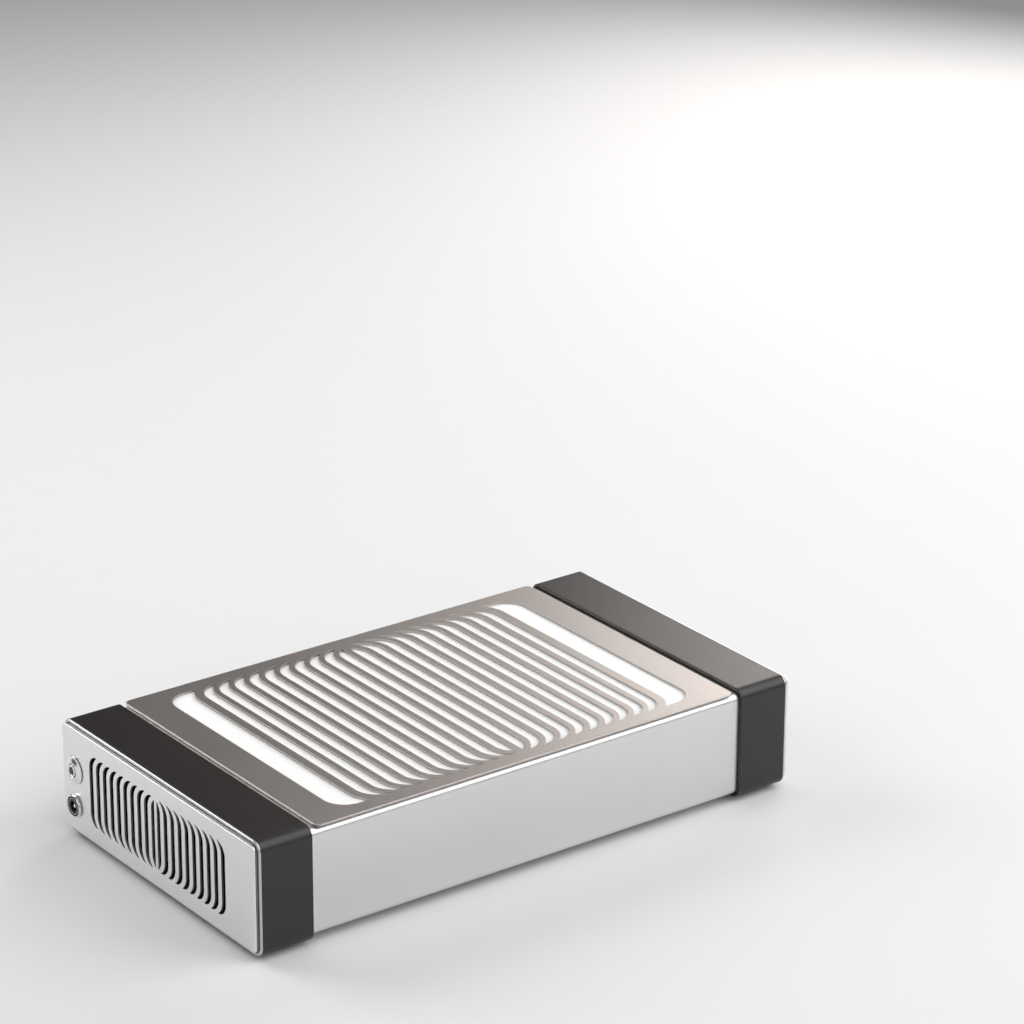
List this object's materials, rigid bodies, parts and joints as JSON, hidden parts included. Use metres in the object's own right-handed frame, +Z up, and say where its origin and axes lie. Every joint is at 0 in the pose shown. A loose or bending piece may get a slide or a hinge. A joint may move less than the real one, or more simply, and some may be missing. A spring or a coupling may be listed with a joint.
{
  "type": "nail dust collector",
  "caption": "Low desk-top nail dust extractor: slotted steel lift-off lid over a pleated filter, fans inside, dark end bands, slotted end plates with push button and DC inlet.",
  "frame": {"origin": "centre of the footprint between the two end plates, on the surface that the rubber feet stand on", "axes": "+X along the length, with the controls on the -X end; -Y towards the front; +Z up"},
  "size_m": [0.316, 0.17, 0.0605],
  "materials": {
    "satin_steel": "satin brushed sheet, plain outer body",
    "warm_steel": "satin stainless sheet with a warm grey tint",
    "silver_plate": "bead-blasted silver plate",
    "frame_grey": "satin grey",
    "dark_coat": "dark charcoal powder coat with a soft sheen",
    "chrome": "polished",
    "zinc_steel": "zinc plated",
    "black_plastic": "moulded, fine grain",
    "white_filter": "pleated non-woven filter paper",
    "white_plastic": "moulded, smooth",
    "black_foam": "closed-cell foam",
    "black_rubber": "matt rubber",
    "magnet_nickel": "nickel plated",
    "copper": "lacquered copper winding",
    "board_green": "solder-masked glass fibre board",
    "dark_lens": "smoked lens"
  },
  "bodies": {
    "casing": {"board_capacitor": "black_plastic", "board_connector": "white_plastic", "board_post_1": "zinc_steel", "board_post_2": "zinc_steel", "body_shell": "satin_steel", "button_housing": "chrome", "button_nut": "zinc_steel", "button_switch": "black_plastic", "button_wire": "black_rubber", "control_board": "board_green", "fan_deck": "zinc_steel", "fan_screw_1": "zinc_steel", "fan_screw_2": "zinc_steel", "fan_screw_3": "zinc_steel", "fan_screw_4": "zinc_steel", "fan_screw_5": "zinc_steel", "fan_screw_6": "zinc_steel", "fan_screw_7": "zinc_steel", "fan_screw_8": "zinc_steel", "filter_gasket": "black_foam", "foot_1": "black_rubber", "foot_2": "black_rubber", "foot_3": "black_rubber", "foot_4": "black_rubber", "foot_screw_1": "zinc_steel", "foot_screw_2": "zinc_steel", "foot_screw_3": "zinc_steel", "foot_screw_4": "zinc_steel", "jack_insert": "black_plastic", "jack_nut": "zinc_steel", "jack_pin": "chrome", "jack_ring": "zinc_steel", "jack_shell": "chrome", "jack_wire": "black_rubber", "left_band": "dark_coat", "left_end_frame": "frame_grey", "left_end_plate": "silver_plate", "left_fan_frame": "black_plastic", "left_fan_guard": "chrome", "left_fan_stator": "copper", "left_fan_wire": "black_rubber", "lid_magnet_1": "magnet_nickel", "lid_magnet_2": "magnet_nickel", "lid_magnet_3": "magnet_nickel", "lid_magnet_4": "magnet_nickel", "right_band": "dark_coat", "right_end_frame": "frame_grey", "right_end_plate": "silver_plate", "right_fan_frame": "black_plastic", "right_fan_guard": "chrome", "right_fan_stator": "copper", "right_fan_wire": "black_rubber"},
    "lid": {"grille_lid": "warm_steel"},
    "cassette": {"filter_frame": "white_plastic", "filter_pad": "white_filter"},
    "button": {"button_plunger": "chrome", "button_lens": "dark_lens"},
    "left_fan": {"left_fan_rotor": "black_plastic"},
    "right_fan": {"right_fan_rotor": "black_plastic"}
  },
  "joints": [
    {"name": "lid_lift", "type": "slide", "parent": "casing", "child": "lid", "axis": [0, 0, 1], "range_m": [0, 0.12]},
    {"name": "cassette_lift", "type": "slide", "parent": "casing", "child": "cassette", "axis": [0, 0, 1], "range_m": [0, 0.06]},
    {"name": "button_press", "type": "slide", "parent": "casing", "child": "button", "axis": [1, 0, 0], "range_m": [0, 0.0008], "stiffness_N_per_m": 1500},
    {"name": "left_fan_spin", "type": "hinge", "parent": "casing", "child": "left_fan", "pos_m": [-0.05, 0, 0.0177], "axis": [0, 0, 1], "continuous": true},
    {"name": "right_fan_spin", "type": "hinge", "parent": "casing", "child": "right_fan", "pos_m": [0.05, 0, 0.0177], "axis": [0, 0, 1], "continuous": true}
  ],
  "couplings": [
    {"joint": "cassette_lift", "follows": "lid_lift", "ratio": 0.5}
  ]
}
